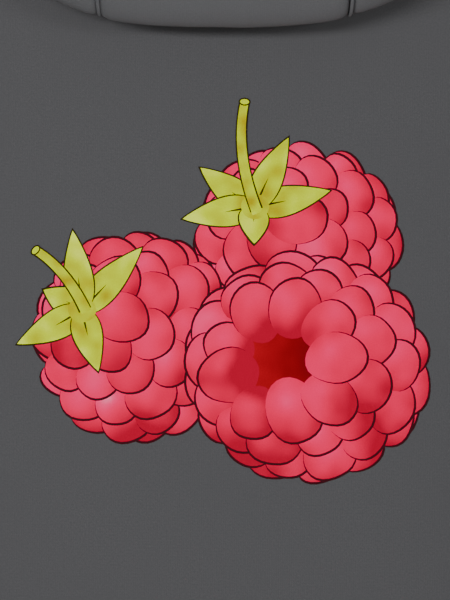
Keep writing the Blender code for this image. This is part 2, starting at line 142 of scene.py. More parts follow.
# %% [markdown]
# ## Cotton fleece
# The cloth is loopback or brushed fleece: a fine jersey knit outside, soft and matt. Close to, the
# eye sees rows of tiny V stitches, a few paler fibres in the charcoal, and a soft bloom where the
# cloth turns away. The knit follows the cloth's own UV map, which is laid out in metres, so a
# wale is a real millimetre wide. A wale is drawn a little coarser than the 0.8 mm of the real one,
# because a finer one wouldn't show.

# %% Knitted cloth
WALE = 0.0011  # width of one column of knit stitches
COURSE = 0.0009  # height of one row
FLEECE_NAP, INK_NAP = 0.00010, 0.00006  # depth of the knit on bare and on printed cloth
ONE_BAND = 0.314  # scale that makes each stripe one unit wide


def knit_bump(tree, uv, wale, course, depth):
    """Bump for a jersey face: wales across, courses along, and a soft nap on top."""
    place = add_node(tree, "ShaderNodeMapping", values=[("Scale", (1 / wale, 1 / course, 1.0))],
                     links=[("Vector", uv)]).outputs["Vector"]
    knit = add_node(tree, "ShaderNodeMath", settings=[("operation", "MULTIPLY")],
                    links=[(0, stripes(tree, place, "X", ONE_BAND, 0.5, 1.0)),
                           (1, stripes(tree, place, "Y", ONE_BAND, 1.5, 1.0))])
    height = add_node(tree, "ShaderNodeMath", settings=[("operation", "ADD")],
                      links=[(0, knit.outputs[0]), (1, speckle(tree, uv, 1500.0, 3.0))])
    return relief(tree, height.outputs[0], 0.35, depth)


def fleece_cotton(name, base, pale, deep, wale=WALE, course=COURSE):
    """Charcoal cotton knit: dyed fibres that vary a little, over a fine knit."""
    made, tree, shader = new_material(name)
    uv = cut_map(tree)
    melange = between(tree, speckle(tree, uv, 900.0, 4.0), deep, pale)
    dyed = add_node(tree, "ShaderNodeMix", settings=[("data_type", "RGBA")],
                    values=[(7, linear(base))],
                    links=[(0, speckle(tree, uv, 14.0)), (6, melange)])
    feed(tree, shader,
         values=[("Roughness", 0.95), ("Specular IOR Level", 0.2), ("Sheen Weight", 0.10),
                 ("Sheen Roughness", 0.6), ("Sheen Tint", linear("#8A8A90"))],
         links=[("Base Color", dyed.outputs[2]),
                ("Normal", knit_bump(tree, uv, wale, course, FLEECE_NAP))])
    return made


fleece = fleece_cotton("charcoal_cotton_fleece", "#4A4A4C", "#59595B", "#3B3B3D")
# The hood is the same fleece as the body. Its lighter copy here is painted light, for the brighter
# light that falls on the hood.
hood_fleece_painted_lighter = fleece_cotton("charcoal_cotton_fleece_hood_painted_lighter", "#525355", "#5F6063", "#454648")
rib_knit = fleece_cotton("charcoal_rib_knit", "#4A4B4D", "#555658", "#3F4042", 0.0009, 0.0008)
lining_jersey = fleece_cotton("charcoal_single_jersey", "#48494C", "#525356", "#3E3F42", 0.0013)
print("cloth materials made")

# %% [markdown]
# ## Thread, tape and metal
# Seams are sewn with spun polyester, which is a shade darker than the cloth and slightly glossy.
# The neck seam is covered by a twill tape, whose slanting ribs are a wave pattern, and whose
# grooves are painted darker than its crests, as shade. The eyelets are nickel-plated brass with a
# dark satin finish.

# %% Sewing thread, twill tape and eyelet metal
TWILL_RIB = 0.001  # width of one slanting rib

def spun_thread():
    made, tree, shader = new_material("spun_polyester_thread")
    fuzz = speckle(tree, in_object(tree), 2500.0)
    feed(tree, shader, values=[("Base Color", linear("#4A4A4D")), ("Roughness", 0.6)],
         links=[("Normal", relief(tree, fuzz, 0.3, 0.0001))])
    return made


def twill_tape():
    made, tree, shader = new_material("cotton_twill_tape")
    # The rib height also sets the colour: the grooves are painted darker, as shade, the crests
    # lighter.
    rib_height_and_groove_shade = stripes(tree, in_object(tree), "DIAGONAL", ONE_BAND / TWILL_RIB, 0.3)
    feed(tree, shader, values=[("Roughness", 0.9)],
         links=[("Base Color", between(tree, rib_height_and_groove_shade, "#3F3F42", "#4F4F52")),
                ("Normal", relief(tree, rib_height_and_groove_shade, 0.5, 0.0002))])
    return made


def satin_nickel():
    made, tree, shader = new_material("satin_nickel_plate")
    wear = speckle(tree, in_object(tree), 900.0, 4.0)
    rough = add_node(tree, "ShaderNodeMapRange", values=[("To Min", 0.22), ("To Max", 0.42)],
                     links=[("Value", wear)])
    feed(tree, shader, values=[("Base Color", linear("#8E8C88")), ("Metallic", 1.0)],
         links=[("Roughness", rough.outputs["Result"])])
    return made


thread, tape, nickel = spun_thread(), twill_tape(), satin_nickel()
print("thread, tape and metal made")

# %% [markdown]
# ## The garment's shape
# A worn sweatshirt is a barrel of cloth: wide and fairly flat, rounded over the shoulders, and
# bloused above its tight waistband. Each line below is one that a pattern cutter would draw: the
# half width and half depth at each height, the shoulder line, the armhole, the sleeve's two
# edges and the hood's sections. Smooth curves through these few points give every panel.

# %% Sizes of the body
HEM_Z, BAND_BOTTOM_Z, ARMPIT_Z = -0.600, -0.665, -0.270
SHOULDER_X, SHOULDER_Z = 0.215, -0.050
NECK_HALF_WIDTH, BACK_NECK_Z, FRONT_NECK_Z = 0.095, 0.012, -0.055
FLEECE_THICKNESS, RIB_THICKNESS = 0.0018, 0.0034
SEAM_GAP = 0.0005
SQUARENESS, BACK_SHARE, SHOULDER_ROUNDING, ARMPIT_V = 2.4, 0.92, 0.200, 0.6
HALF_WIDTH = [
    (BAND_BOTTOM_Z, 0.199), (-0.630, 0.202), (HEM_Z, 0.211), (-0.572, 0.231), (-0.500, 0.236),
    (-0.400, 0.233), (ARMPIT_Z, 0.228), (-0.200, 0.244), (-0.100, 0.252), (0.100, 0.252),
]
HALF_DEPTH = [
    (BAND_BOTTOM_Z, 0.110), (-0.630, 0.112), (HEM_Z, 0.117), (-0.572, 0.130), (-0.500, 0.132),
    (-0.400, 0.128), (ARMPIT_Z, 0.126), (-0.150, 0.128), (0.100, 0.128),
]
RIDGE = [
    (-0.050, 0.038), (0.000, 0.060), (0.050, 0.038), (NECK_HALF_WIDTH, 0.000), (0.150, -0.022),
    (SHOULDER_X, SHOULDER_Z), (0.260, -0.072),
]
ARMHOLE = [
    (0.228, ARMPIT_Z), (0.209, -0.215), (0.200, -0.150), (0.204, -0.095), (SHOULDER_X, SHOULDER_Z),
]

# %% Smooth curves through a few points


def cubic(before, start, end, after, f):
    """Between start and end, f from 0 to 1, on a smooth curve that also heeds its neighbours."""
    return 0.5 * (
        2 * start
        + (end - before) * f
        + (2 * before - 5 * start + 4 * end - after) * f * f
        + (3 * start - before - 3 * end + after) * f**3
    )


def through(points, t):
    """A point on a smooth curve through evenly numbered points, t from 0 to 1."""
    last = len(points) - 1
    at = min(max(t, 0.0), 1.0) * last
    i = min(int(at), last - 1)
    start, end = Vector(points[i]), Vector(points[i + 1])
    before = Vector(points[i - 1]) if i > 0 else 2 * start - end
    after = Vector(points[i + 2]) if i + 2 <= last else 2 * end - start
    return cubic(before, start, end, after, at - i)


def profile(stations, at):
    """Reads a smooth curve through (place, value) pairs that are listed in rising order."""
    i = 0
    while i < len(stations) - 2 and at > stations[i + 1][0]:
        i += 1
    (x0, y0), (x1, y1) = stations[i], stations[i + 1]
    xb, yb = stations[max(i - 1, 0)]
    xa, ya = stations[min(i + 2, len(stations) - 1)]
    f = min(max((at - x0) / (x1 - x0), 0.0), 1.0)
    rise0 = (y1 - yb) / (x1 - xb) * (x1 - x0)
    rise1 = (ya - y0) / (xa - x0) * (x1 - x0)
    return (
        (1 + 2 * f) * (1 - f) ** 2 * y0 + f * (1 - f) ** 2 * rise0
        + f * f * (3 - 2 * f) * y1 - f * f * (1 - f) * rise1
    )


def smooth(t):
    t = min(max(t, 0.0), 1.0)
    return t * t * (3 - 2 * t)


def mirrored(point, hand):
    return Vector((hand * point.x, point.y, point.z))


# %% The body's surface


def body_depth(x, z, facing):
    """How far the body's outside stands from the side seams. facing is -1 for the back."""
    across = min(abs(x) / profile(HALF_WIDTH, z), 1.0)
    below = min(max((profile(RIDGE, abs(x)) - z) / SHOULDER_ROUNDING, 0.0), 1.0)
    share = BACK_SHARE if facing < 0 else 1.0
    side = (1 - across**SQUARENESS) ** (1 / SQUARENESS)
    return share * profile(HALF_DEPTH, z) * side * math.sqrt(1 - (1 - below) ** 2)


def side_edge(v):
    """(x, z) up the side seam and round the armhole, v from 0 at the hem to 1 at the shoulder."""
    if v > ARMPIT_V:
        return through(ARMHOLE, (v - ARMPIT_V) / (1 - ARMPIT_V))
    z = HEM_Z + (ARMPIT_Z - HEM_Z) * v / ARMPIT_V
    return Vector((profile(HALF_WIDTH, z), z))


def top_edge(x, neck_z):
    """Height of a body panel's top edge: the neckline, then the shoulder seam."""
    if x >= NECK_HALF_WIDTH:
        return profile(RIDGE, x)
    return neck_z * math.sqrt(1 - (x / NECK_HALF_WIDTH) ** 2)


def body_point(u, v, facing):
    """Outside of a body panel. u is -1 to 1 across, v is 0 to 1 from hem to shoulder."""
    neck_z = BACK_NECK_Z if facing < 0 else FRONT_NECK_Z
    side_x, side_z = side_edge(v)
    up = (side_z - HEM_Z) / (SHOULDER_Z - HEM_Z)
    rise = top_edge(abs(u) * SHOULDER_X, neck_z) - SHOULDER_Z
    x, z = u * side_x, side_z + rise * up**3
    return Vector((x, facing * (body_depth(x, z, facing) + SEAM_GAP / 2), z))


# %% [markdown]
# ## Weaving a panel
# Every cloth piece is one grid. bmesh makes the flat grid, a function moves each corner to its
# place, and the distances along the rows and columns become the UV map in metres, so the knit keeps
# its size wherever the cloth curves. Near a seam the cloth turns in to meet its neighbour: the
# corners there sink along their normals. The grid is remembered, so that stitching can follow it.

# %% The weaver
woven = {}  # name of a panel -> its grid of points and its grid of normals
SEAM_SINK, SEAM_REACH = 0.0014, 0.0030  # how deep a seam sinks the cloth, and how far from it
DOUBLES_APART = 1e-5  # points nearer than this are one point, where a tube's two edges meet


def finished(name, mesh, material):
    """Turns a bmesh into a smooth object with one material."""
    data = bpy.data.meshes.new(name)
    mesh.to_mesh(data)
    mesh.free()
    data.shade_smooth()
    data.materials.append(material)
    piece = bpy.data.objects.new(name, data)
    bpy.context.collection.objects.link(piece)
    return piece


def worn(name, mesh, material, thickness=None):
    """A finished piece of the garment, given a thickness where its mesh is a bare surface."""
    piece = finished(name, mesh, material)
    if thickness:
        wall = piece.modifiers.new("thickness", "SOLIDIFY")
        wall.thickness, wall.offset = thickness, -1
    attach(piece, "root")
    return piece


def running(points):
    """Distance along a row of points, from its first to each of them."""
    total, out = 0.0, [0.0]
    for a, b in zip(points, points[1:]):
        total += (b - a).length
        out.append(total)
    return out


def seam_dip(distance):
    return SEAM_SINK * math.exp(-((distance / SEAM_REACH) ** 2))


def weave(name, columns, rows, place, thickness, material, closed=False, flip=False,
          sink="lrfh", folds=None):
    """Makes a panel. place(p, q) gives its outside, and sink names the edges that are sewn: left,
    right, foot and head. folds(p, q, point) gives how far a drape lifts each place."""
    mesh = bmesh.new()
    uv = mesh.loops.layers.uv.new("cut")
    bmesh.ops.create_grid(mesh, x_segments=columns, y_segments=rows, size=1)
    at = {}
    for vertex in mesh.verts:
        i = round((vertex.co.x + 1) / 2 * columns)
        j = round((vertex.co.y + 1) / 2 * rows)
        at[i, j] = vertex
    for (i, j), vertex in at.items():
        vertex.co = place(i / columns, j / rows)
    if flip:
        bmesh.ops.reverse_faces(mesh, faces=mesh.faces)
    mesh.normal_update()
    grid = [[at[i, j].co.copy() for i in range(columns + 1)] for j in range(rows + 1)]
    normals = [[at[i, j].normal.copy() for i in range(columns + 1)] for j in range(rows + 1)]
    if closed:
        for row in normals:
            row[0] = row[-1] = (row[0] + row[-1]).normalized()
    along = [running(row) for row in grid]
    up = [running([grid[j][i] for j in range(rows + 1)]) for i in range(columns + 1)]
    place_of = {vertex: key for key, vertex in at.items()}
    for face in mesh.faces:
        for loop in face.loops:
            i, j = place_of[loop.vert]
            loop[uv].uv = (along[j][i] - along[j][-1] / 2, up[i][j])
    for (i, j), vertex in at.items():
        lift = 0.0
        if folds:
            lift += folds(i / columns, j / rows, grid[j][i])
        for edge, distance in (("l", along[j][i]), ("r", along[j][-1] - along[j][i]),
                               ("f", up[i][j]), ("h", up[i][-1] - up[i][j])):
            if edge in sink:
                lift -= seam_dip(distance)
        vertex.co = grid[j][i] + normals[j][i] * lift
        grid[j][i] = vertex.co.copy()
    if closed:
        bmesh.ops.remove_doubles(mesh, verts=mesh.verts, dist=DOUBLES_APART)
    woven[name] = (grid, normals)
    area = sum(f.calc_area() for f in mesh.faces)
    piece = worn(name, mesh, material, thickness)
    print(f"{name}: {columns} by {rows}, {area:.3f} square metres of cloth")
    return piece


# %% [markdown]
# ## Front and back panels
# The cloth hangs smooth over the shoulder blades and the chest. It gathers into soft folds only
# just above the tight waistband, and a few slant in from the armpits.

# %% The two body panels
GATHER, GATHER_PITCH = 0.0022, 0.047  # height and width of the folds above the waistband
DRAG, DRAG_PITCH = 0.0030, 0.042  # and of the slanting ones under the arms

def body_folds(p, q, point):
    """Soft vertical folds above the waistband, and slanting ones under each arm."""
    low = 1 - smooth((point.z - HEM_Z) / 0.055)
    sway = noise.noise(Vector((point.x * 9, 3.1, point.z * 7))) * 2.5
    gather = GATHER * low * math.sin(point.x * 2 * math.pi / GATHER_PITCH + sway * 2) * smooth(
        (point.z - HEM_Z) / 0.012)
    side = smooth((abs(point.x) - 0.150) / 0.06)
    height = math.exp(-(((point.z + 0.335) / 0.075) ** 2))
    slant = (point.z - ARMPIT_Z) + 0.75 * abs(abs(point.x) - 0.228)
    drag = DRAG * side * height * math.sin(slant * 2 * math.pi / DRAG_PITCH + sway)
    return gather + drag


def body_piece(name, facing):
    return weave(name, 190, 180, lambda p, q: body_point(2 * p - 1, q, facing),
                 FLEECE_THICKNESS, fleece, flip=facing > 0, folds=body_folds)


back = body_piece("back_cloth", -1)
front = body_piece("front_cloth", 1)
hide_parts("back_panel")
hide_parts("front_panel")

# %% [markdown]
# ## Sleeves
# A sleeve is a tube from the armhole to the cuff, wide at the top and drawn in at the wrist. A
# hanging arm bends a little at the elbow, so the cloth stacks in short folds on its inner side
# there, and again where the cuff holds it up.

# %% Sleeves
SLEEVE_OUTER = [
    (SHOULDER_X, SHOULDER_Z), (0.262, -0.078), (0.300, -0.140), (0.328, -0.220), (0.352, -0.320),
    (0.374, -0.420), (0.396, -0.530), (0.396, -0.585),
]
SLEEVE_INNER = [
    (0.228, ARMPIT_Z), (0.238, -0.290), (0.244, -0.315), (0.252, -0.355), (0.266, -0.410),
    (0.281, -0.475), (0.298, -0.560), (0.3145, -0.606),
]
SLEEVE_DEPTH = [
    (0.0, 0.072), (0.2, 0.074), (0.4, 0.067), (0.6, 0.060), (0.8, 0.053), (0.92, 0.051),
    (1.0, 0.0425),
]
SLEEVE_FORWARD, ARMHOLE_BLEND = 0.030, 0.30
SLEEVE_START = SEAM_GAP / 0.3  # where the sleeve starts, a hair clear of the body's edge
ELBOW_FOLD, CUFF_FOLD, ARMPIT_FOLD = 0.0032, 0.0030, 0.0026  # height of the creases at each


def armhole_point(turn):
    """The armhole's outline, turn 0 at the shoulder, 90 degrees at the back, 180 at the armpit."""
    v = ARMPIT_V + (1 - ARMPIT_V) * (1 + math.cos(turn)) / 2
    x, z = side_edge(v)
    facing = -1 if math.sin(turn) > 0 else 1
    return Vector((x, facing * body_depth(x, z, facing), z))


def sleeve_point(turn, t):
    """Outside of the right sleeve, t from 0 at the armhole to 1 at the cuff."""
    outer, inner = through(SLEEVE_OUTER, t), through(SLEEVE_INNER, t)
    upper = (1 + math.cos(turn)) / 2
    middle, half = (outer + inner) / 2, (outer - inner) / 2
    ring = Vector((
        middle.x + half.x * math.cos(turn),
        -profile(SLEEVE_DEPTH, t) * math.sin(turn),
        middle.y + half.y * math.cos(turn),
    ))
    outer_move, inner_move = outer - Vector(SLEEVE_OUTER[0]), inner - Vector(SLEEVE_INNER[0])
    move = outer_move * upper + inner_move * (1 - upper)
    carried = armhole_point(turn) + Vector((move.x, 0, move.y))
    point = carried.lerp(ring, smooth(t / ARMHOLE_BLEND))
    point.y += SLEEVE_FORWARD * t * t
    return point


def sleeve_folds(p, q, point):
    """Creases that run round the arm: strongest inside the elbow and just above the cuff."""
    turn = 2 * math.pi * p
    inner = (1 + math.cos(turn)) / 2
    drift = noise.noise(Vector((math.cos(turn) * 1.3, math.sin(turn) * 1.3, point.z * 6))) * 2.2
    elbow = math.exp(-(((q - 0.50) / 0.14) ** 2)) * (0.25 + 0.75 * inner)
    stack = math.exp(-(((q - 0.90) / 0.075) ** 2)) * smooth((1 - q) / 0.05)
    armpit = math.exp(-(((q - 0.14) / 0.10) ** 2)) * inner
    round_arm = math.sin(2 * math.pi * (q * 13 + 0.35 * math.sin(turn)) + drift)
    slant = math.sin(2 * math.pi * (q * 11 + 0.8 * math.sin(turn)) + drift)
    return ELBOW_FOLD * elbow * slant + CUFF_FOLD * stack * round_arm + ARMPIT_FOLD * armpit * slant


SHOULDER_CORE = Vector((0.120, 0.0, -0.160))  # a point well inside the shoulder
SEAM_RADIUS, SEAM_DEPTH = 0.0030, 0.0038  # round of the sewn edges, and how deep they lie
OVERLOCK_THICKNESS = 0.0010
LOOK_AHEAD = 0.02  # step along the armhole, in radians, that gives its direction


def armhole_seam(side, hand):
    """The overlocked edges of cloth that fill the groove where a sleeve meets the body."""
    def place(p, q):
        middle = armhole_point(2 * math.pi * q)
        ahead = (armhole_point(2 * math.pi * q + LOOK_AHEAD) - middle).normalized()
        out = (middle - SHOULDER_CORE).normalized()
        out = (out - ahead * out.dot(ahead)).normalized()
        aside = out.cross(ahead)
        turn = 2 * math.pi * p
        point = (middle - out * SEAM_DEPTH + out * (SEAM_RADIUS * math.cos(turn))
                 + aside * (SEAM_RADIUS * math.sin(turn)))
        return mirrored(point, hand)

    return weave(f"{side}_armhole_seam", 10, 160, place, OVERLOCK_THICKNESS, fleece, closed=True,
                 flip=hand > 0, sink="")


def sleeve_piece(side, hand):
    def place(p, q):
        t = SLEEVE_START + (1 - SLEEVE_START) * q
        return mirrored(sleeve_point(math.pi * (2 * p - 1), t), hand)

    piece = weave(f"{side}_sleeve_cloth", 110, 190, place, FLEECE_THICKNESS, fleece, closed=True,
                  flip=hand < 0, folds=sleeve_folds)
    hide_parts(f"{side}_sleeve")
    armhole_seam(side, hand)


for side, hand in (("right", 1), ("left", -1)):
    sleeve_piece(side, hand)

# %% [markdown]
# ## Ribbed cuffs and waistband
# Two-by-two rib knit stands in ridges, each two stitches wide, with a groove between. It springs
# back, which is what grips the wrist and the hips. The ridges are real relief in the mesh, because
# they show along the edges too. The knit is folded double, so the free edge is a rounded fold.

# %% Rib knit pieces
RIB_PITCH, RIB_RELIEF = 0.0042, 0.0007
RIB_EDGE_ROUND, RIB_SLACK = 0.0012, 0.0006  # how far the folded edge turns in, and the unevenness
CUFF_LENGTH, CUFF_TOP_RADIUS, CUFF_END_RADIUS = 0.066, 0.0405, 0.0375
CUFF_GAP = 0.0012
WAIST_GIRTH, WAIST_STEPS = 1.02, 4000


def rib_ridges(count):
    """Lift of the ridges round a tube, and the round of the folded edge at its foot."""
    def lift(p, q, point):
        wave = 0.5 + 0.5 * math.cos(2 * math.pi * p * count)
        edge = smooth((1 - q) / 0.035)
        slack = RIB_SLACK * noise.noise(point * 30)
        return RIB_RELIEF * (wave**0.55 - 0.6) * edge - RIB_EDGE_ROUND * (1 - edge) + slack

    return lift


def cuff_piece(side, hand):
    outer, inner = Vector(SLEEVE_OUTER[-1]), Vector(SLEEVE_INNER[-1])
    middle, across = (outer + inner) / 2, (outer - inner).normalized()
    down = Vector((across.y, -across.x))

    def place(p, q):
        turn = math.pi * (2 * p - 1)
        radius = CUFF_TOP_RADIUS + (CUFF_END_RADIUS - CUFF_TOP_RADIUS) * q
        point = middle + down * (CUFF_GAP + CUFF_LENGTH * q) + across * radius * math.cos(turn)
        return mirrored(Vector((point.x, SLEEVE_FORWARD - radius * math.sin(turn), point.y)), hand)

    count = round(2 * math.pi * CUFF_TOP_RADIUS / RIB_PITCH)
    piece = weave(f"{side}_cuff_rib", count * 8, 30, place, RIB_THICKNESS, rib_knit, closed=True,
                  flip=hand < 0, sink="f", folds=rib_ridges(count))
    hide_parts(f"{side}_cuff")


def waistband_piece():
    def place(p, q):
        turn = 2 * math.pi * p
        z = HEM_Z - SEAM_GAP + (BAND_BOTTOM_Z - HEM_Z + SEAM_GAP) * q
        power = 2 / SQUARENESS
        c, s = math.cos(turn), math.sin(turn)
        share = BACK_SHARE if s < 0 else 1.0
        return Vector((
            math.copysign(abs(c) ** power, c) * profile(HALF_WIDTH, z),
            math.copysign(abs(s) ** power, s) * profile(HALF_DEPTH, z) * share,
            z,
        ))

    # An even turn doesn't go an even way round, so each column's turn is found by its distance.
    gone = running([place(k / WAIST_STEPS, 0) for k in range(WAIST_STEPS + 1)])
    count = round(WAIST_GIRTH / RIB_PITCH)
    columns = count * 7
    turns = [bisect_left(gone, gone[-1] * (k / columns)) / WAIST_STEPS for k in range(columns + 1)]
    piece = weave(
        "waistband_rib", columns, 22,
        lambda p, q: place(turns[round(p * columns)] if p < 1 else 0.0, q), RIB_THICKNESS, rib_knit,
        closed=True, flip=True, sink="f", folds=rib_ridges(count))
    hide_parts("waistband")


for side, hand in (("right", 1), ("left", -1)):
    cuff_piece(side, hand)
waistband_piece()

# %% [markdown]
# ## The hood
# A three-piece hood has a long centre panel between two sides, so it follows the head without a
# ridge down the middle. Thrown back, it becomes a bag: it rises from the neck seam, rolls over,
# falls down the nape, turns at the bottom fold and climbs back up to the face edge. The whole
# hood is one surface, woven from eight sections round the neck.

# %% Hood sections
SEAM_RISE = 0.0016
HOOD_SEAM_X = [0.000, 0.040, 0.074, 0.0945, 0.0810, 0.064, 0.038, 0.000]
HOOD_FRONT = [
    (0.000, 0.1185, -0.049), (0.000, 0.119, -0.046), (0.000, 0.119, -0.043),
    (0.000, 0.119, -0.040), (0.000, 0.119, -0.037), (0.000, 0.119, -0.034),
    (0.000, 0.1185, -0.031), (0.000, 0.118, -0.028),
]
HOOD_THROAT = [
    (0.045, 0.109, -0.036), (0.049, 0.106, -0.026), (0.052, 0.103, -0.017),
    (0.055, 0.100, -0.009), (0.057, 0.097, -0.002), (0.058, 0.094, 0.004),
    (0.059, 0.091, 0.010), (0.059, 0.088, 0.015),
]
HOOD_FRONT_SIDE = [
    (0.083, 0.074, -0.010), (0.091, 0.068, 0.008), (0.098, 0.062, 0.022),
    (0.103, 0.055, 0.032), (0.106, 0.049, 0.039), (0.107, 0.044, 0.045),
    (0.106, 0.039, 0.051), (0.102, 0.035, 0.056),
]
HOOD_SIDE = [
    (0.103, -0.002, 0.026), (0.113, -0.008, 0.043), (0.123, -0.017, 0.055),
    (0.131, -0.027, 0.062), (0.136, -0.036, 0.066), (0.137, -0.042, 0.069),
    (0.135, -0.046, 0.072), (0.130, -0.047, 0.075),
]
HOOD_SHOULDER = [
    (0.096, -0.036, 0.034), (0.111, -0.051, 0.044), (0.125, -0.070, 0.016),
    (0.133, -0.090, -0.043), (0.1385, -0.111, -0.080), (0.146, -0.132, -0.052),
    (0.144, -0.129, 0.014), (0.117, -0.096, 0.070),
]
HOOD_CORNER = [
    (0.077, -0.063, 0.037), (0.092, -0.082, 0.042), (0.109, -0.105, -0.025),
    (0.119, -0.122, -0.120), (0.124, -0.144, -0.166), (0.133, -0.167, -0.130),
    (0.131, -0.169, -0.036), (0.096, -0.129, 0.062),
]
HOOD_SEAM = [
    (0.044, -0.083, 0.038), (0.054, -0.102, 0.037), (0.064, -0.119, -0.052),
    (0.071, -0.129, -0.152), (0.0745, -0.154, -0.1985), (0.077, -0.181, -0.160),
    (0.078, -0.189, -0.056), (0.062, -0.153, 0.053),
]
HOOD_BACK = [
    (0.000, -0.090, 0.038), (0.000, -0.110, 0.034), (0.000, -0.122, -0.060),
    (0.000, -0.131, -0.160), (0.000, -0.157, -0.205), (0.000, -0.184, -0.166),
    (0.000, -0.193, -0.060), (0.000, -0.159, 0.049),
]
HOOD_SECTIONS = [
    HOOD_FRONT, HOOD_THROAT, HOOD_FRONT_SIDE, HOOD_SIDE, HOOD_SHOULDER, HOOD_CORNER,
    HOOD_SEAM, HOOD_BACK,
]
CENTRE_SEAM = 6 / 7  # where round the neck the centre panel starts, 0 front to 1 back


def neck_seam(section):
    """Where a hood section starts, just above the edge of the body panel under it."""
    x = HOOD_SEAM_X[section]
    facing = 1 if section < HOOD_SECTIONS.index(HOOD_SIDE) else -1
    z = top_edge(x, BACK_NECK_Z if facing < 0 else FRONT_NECK_Z)
    return Vector((x, facing * body_depth(x, z, facing), z + SEAM_RISE))


@lru_cache(maxsize=4096)
def hood_ring(t):
    """One point on each section, at the same share of its length."""
    return [through([neck_seam(i), *rest], t) for i, rest in enumerate(HOOD_SECTIONS)]


NECK_BLEND = 0.12  # share of the hood's length over which it settles onto the neckline


def neckline(round_neck):
    """The hood's seam on the body's own neckline, from 0 at the front to 1 at the back."""
    angles = [math.asin(x / NECK_HALF_WIDTH) for x in HOOD_SEAM_X]
    turns = [a if i < HOOD_SECTIONS.index(HOOD_SIDE) else math.pi - a for i, a in enumerate(angles)]
    turn = through([(a, 0.0) for a in turns], round_neck).x
    facing = 1 if turn < math.pi / 2 else -1
    x = NECK_HALF_WIDTH * math.sin(turn)
    z = (BACK_NECK_Z if facing < 0 else FRONT_NECK_Z) * abs(math.cos(turn))
    return Vector((x, facing * body_depth(x, z, facing), z + SEAM_RISE))


def between_sections(round_neck, t):
    """A place on the smooth surface through the hood's sections."""
    ring = hood_ring(t)
    last = len(ring) - 1
    at = min(abs(round_neck), 1.0) * last
    i = min(int(at), last - 1)
    before = ring[i - 1] if i > 0 else mirrored(ring[1], -1)
    after = ring[i + 2] if i + 2 <= last else mirrored(ring[last - 1], -1)
    point = cubic(before, ring[i], ring[i + 1], after, at - i)
    return mirrored(point, -1 if round_neck < 0 else 1)


def hood_point(round_neck, t):
    """Outside of the hood. round_neck is 0 at the front, 1 at the back and negative on the left."""
    point = between_sections(round_neck, t)
    if t < NECK_BLEND:
        true_seam = mirrored(neckline(abs(round_neck)), -1 if round_neck < 0 else 1)
        point += (true_seam - between_sections(round_neck, 0.0)) * (1 - smooth(t / NECK_BLEND))
    return point


# %% Hood panels
LINING_THICKNESS = 0.0009
LINING_INSET = FLEECE_THICKNESS + 0.0006
BAND_HALF_WIDTH, BAND_THICKNESS = 0.0016, 0.0014
BAND_SHARE = BAND_HALF_WIDTH / 0.55  # the same as a share of the way round the hood
SAG, RIPPLE = 0.0012, 0.0006  # how far the laid cloth wanders, widely and closely


def hood_panel(name, start, end, columns, rows, material, inset, thickness):
    def place(p, q):
        round_neck = start + (end - start) * p
        if round_neck > 1:
            round_neck -= 2
        return hood_point(round_neck, q)

    def sag(p, q, point):
        soft = SAG * noise.noise(point * 14) + RIPPLE * noise.noise(point * 40)
        return soft * smooth(q / 0.1) * smooth((1 - q) / 0.05) - inset

    return weave(name, columns, rows, place, thickness, material, flip=True, sink="lrf",
                 folds=sag)


HOOD_PANELS = {
    "hood_right": (0.0, CENTRE_SEAM - BAND_SHARE, 120),
    "hood_centre": (CENTRE_SEAM + BAND_SHARE, 2 - CENTRE_SEAM - BAND_SHARE, 60),
    "hood_left": (-CENTRE_SEAM + BAND_SHARE, 0.0, 120),
}
hood_shells = {}
# The hood's shells take the lighter fleece copy, whose extra brightness is painted light.
for name, (start, end, columns) in HOOD_PANELS.items():
    shell = hood_panel(f"{name}_cloth", start, end, columns, 190, hood_fleece_painted_lighter, 0.0,
                       FLEECE_THICKNESS)
    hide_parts(f"{name}_panel")
    lining = hood_panel(f"{name}_lining", start, end, columns // 2, 100, lining_jersey,
                        LINING_INSET, LINING_THICKNESS)
    hood_shells[name] = shell

# %% [markdown]
# ## Stitching beside the seams
# A coverstitch machine sews two parallel rows of thread about 6 mm apart beside the armholes, the
# waistband and the cuffs. Each stitch is a short rounded bead of thread lying in the nap. One bead
# is shaped once and copied along lines that follow a panel's edge at a fixed distance.

# %% Stitches
STITCH_PITCH, STITCH_LENGTH, THREAD_RADIUS = 0.0030, 0.0025, 0.00028


def edge_line(name, edge, distance):
    """Points and normals that run along one edge of a panel, that far in from it."""
    grid, normals = woven[name]
    rows, columns = len(grid), len(grid[0])
    lines = {
        "l": [[(j, i) for i in range(columns)] for j in range(rows)],
        "r": [[(j, columns - 1 - i) for i in range(columns)] for j in range(rows)],
        "f": [[(j, i) for j in range(rows)] for i in range(columns)],
        "h": [[(rows - 1 - j, i) for j in range(rows)] for i in range(columns)],
    }[edge]
    out = []
    for line in lines:
        gone = 0.0
        for (j0, i0), (j1, i1) in zip(line, line[1:]):
            step = (grid[j1][i1] - grid[j0][i0]).length
            if gone + step >= distance:
                f = (distance - gone) / max(step, 1e-9)
                out.append((grid[j0][i0].lerp(grid[j1][i1], f),
                            normals[j0][i0].lerp(normals[j1][i1], f).normalized()))
                break
            gone += step
    return out


def bead_template():
    bead = bmesh.new()
    bmesh.ops.create_uvsphere(bead, u_segments=6, v_segments=4, radius=1.0)
    data = bpy.data.meshes.new("stitch_bead")
    bead.to_mesh(data)
    bead.free()
    return data


bead_mesh = bead_template()


